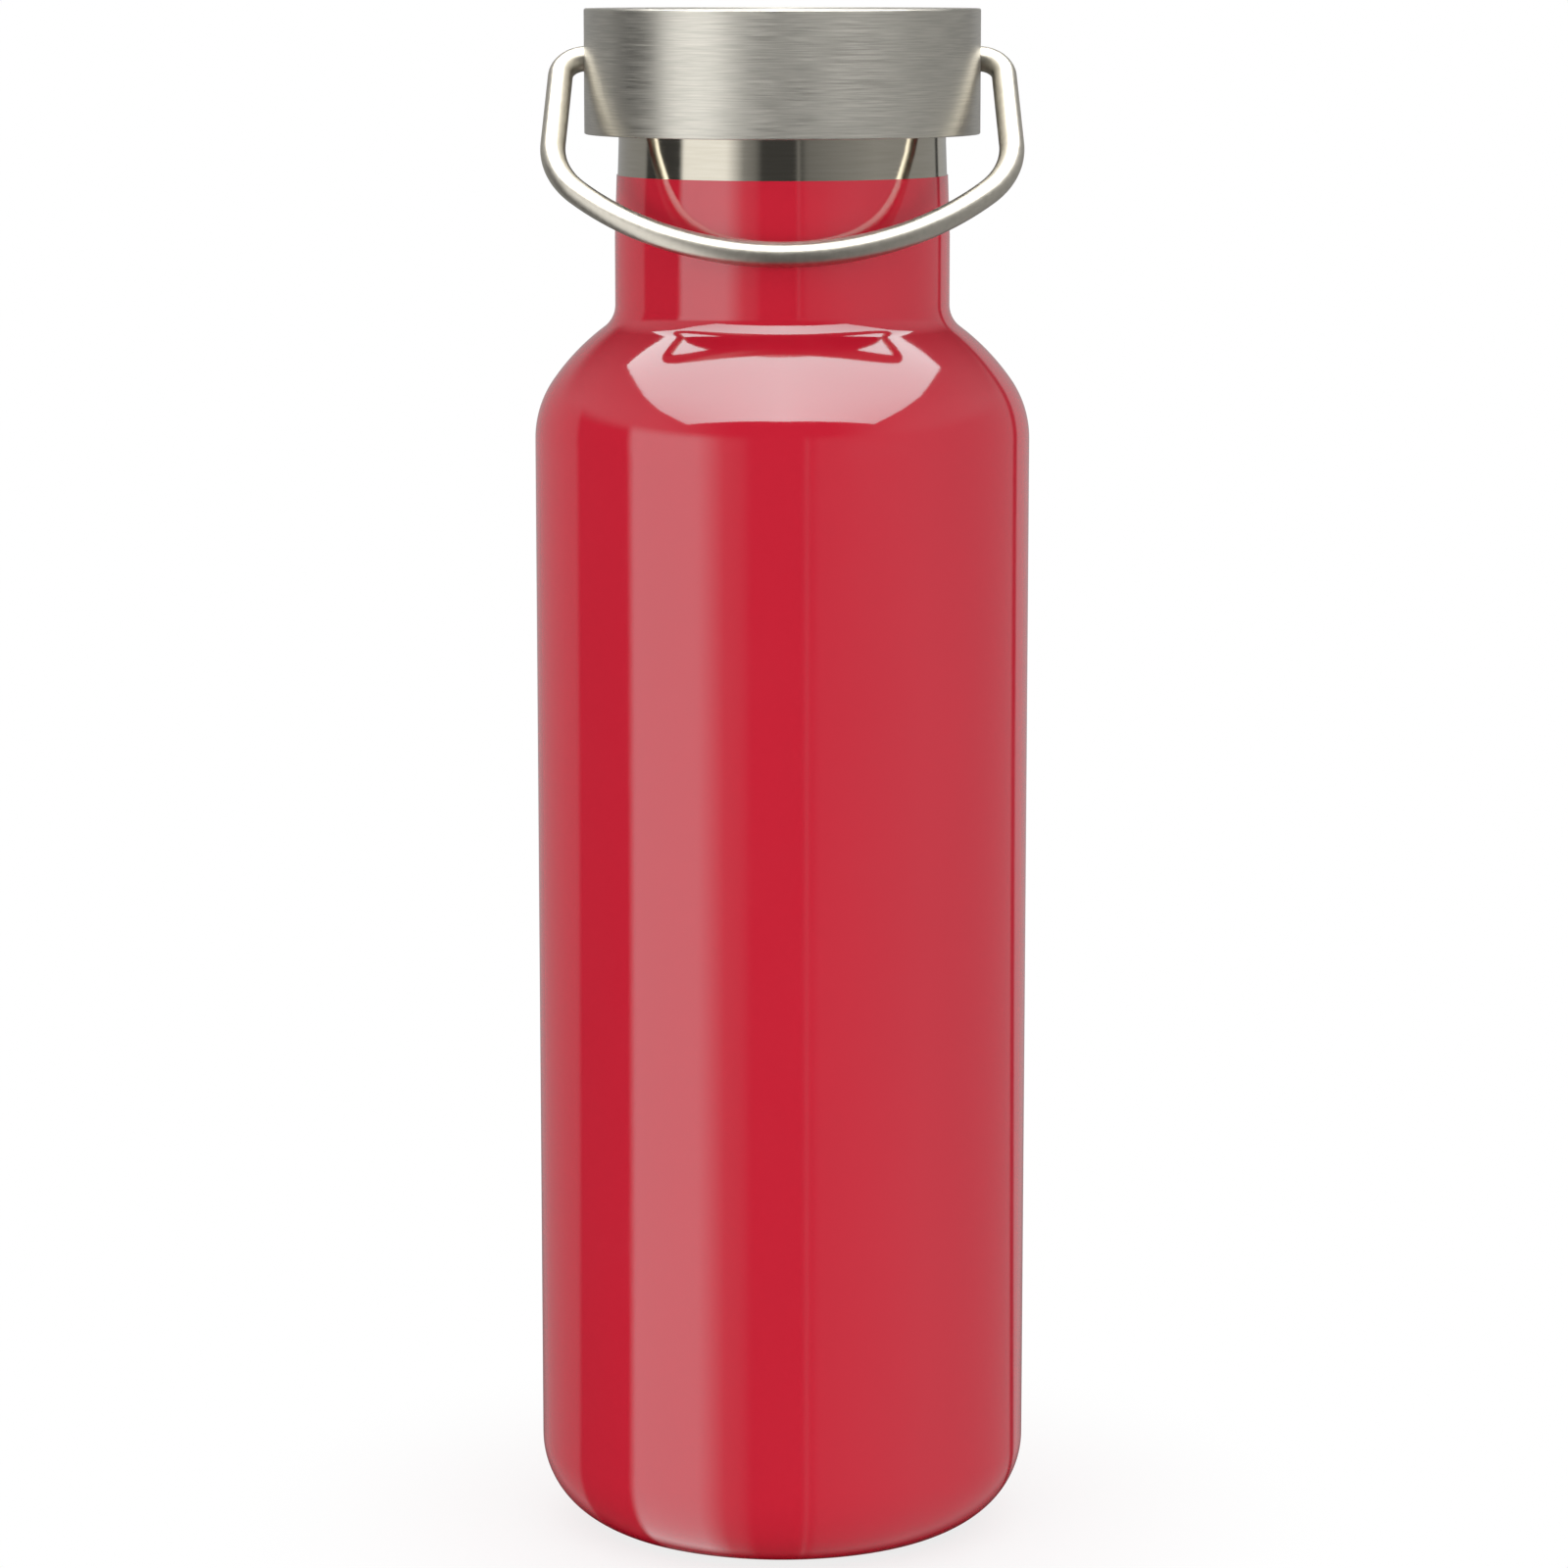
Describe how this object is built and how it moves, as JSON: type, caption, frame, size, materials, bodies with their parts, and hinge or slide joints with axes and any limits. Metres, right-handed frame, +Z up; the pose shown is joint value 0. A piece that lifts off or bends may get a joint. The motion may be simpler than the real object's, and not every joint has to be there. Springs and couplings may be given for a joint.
{
  "type": "insulated water bottle",
  "caption": "Red coated double-wall steel water bottle with a bare neck band, a brushed steel screw cap and a wire bail handle that swings on the cap.",
  "frame": {"origin": "centre of the ring that the bottle stands on, in the foot plane", "axes": "+Z up along the bottle's axis, -Y towards the front, where the bail leans at rest, X along the bail's pivot"},
  "size_m": [0.07, 0.07, 0.2176],
  "materials": {
    "polished_steel": "bare polished stainless steel",
    "red_coat": "gloss red lacquer",
    "liner_steel": "satin drawn stainless steel",
    "brushed_steel": "brushed round the axis",
    "satin_steel": "satin stainless wire",
    "sealing_solder": "dull solder bead",
    "getter_alloy": "sintered pellet",
    "black_plastic": "moulded polypropylene",
    "white_foam": "expanded foam",
    "silicone": "translucent white silicone"
  },
  "bodies": {
    "bottle": {"outer_shell": "polished_steel", "red_coat": "red_coat", "inner_liner": "liner_steel", "liner_base": "liner_steel", "base_dish": "polished_steel", "vacuum_seal": "sealing_solder", "base_cover": "brushed_steel", "getter": "getter_alloy", "getter_clip": "liner_steel"},
    "gasket": {"sealing_gasket": "silicone"},
    "cap": {"cap_shell": "brushed_steel", "cap_insert": "black_plastic", "plug_foam": "white_foam", "plug_cover": "black_plastic"},
    "bail": {"bail_handle": "satin_steel"}
  },
  "joints": [
    {"name": "cap_lift", "type": "slide", "parent": "bottle", "child": "gasket", "axis": [0, 0, 1], "range_m": [0, 0.02]},
    {"name": "cap_turn", "type": "hinge", "parent": "gasket", "child": "cap", "pos_m": [0, 0, 0.2], "axis": [0, 0, 1], "range_deg": [0, 1800]},
    {"name": "bail_swing", "type": "hinge", "parent": "cap", "child": "bail", "pos_m": [0, 0, 0.21061], "axis": [-1, 0, 0], "range_deg": [0, 270.7]}
  ],
  "couplings": [
    {"joint": "cap_lift", "follows": "cap_turn", "m_per_rad": 0.00063662}
  ]
}
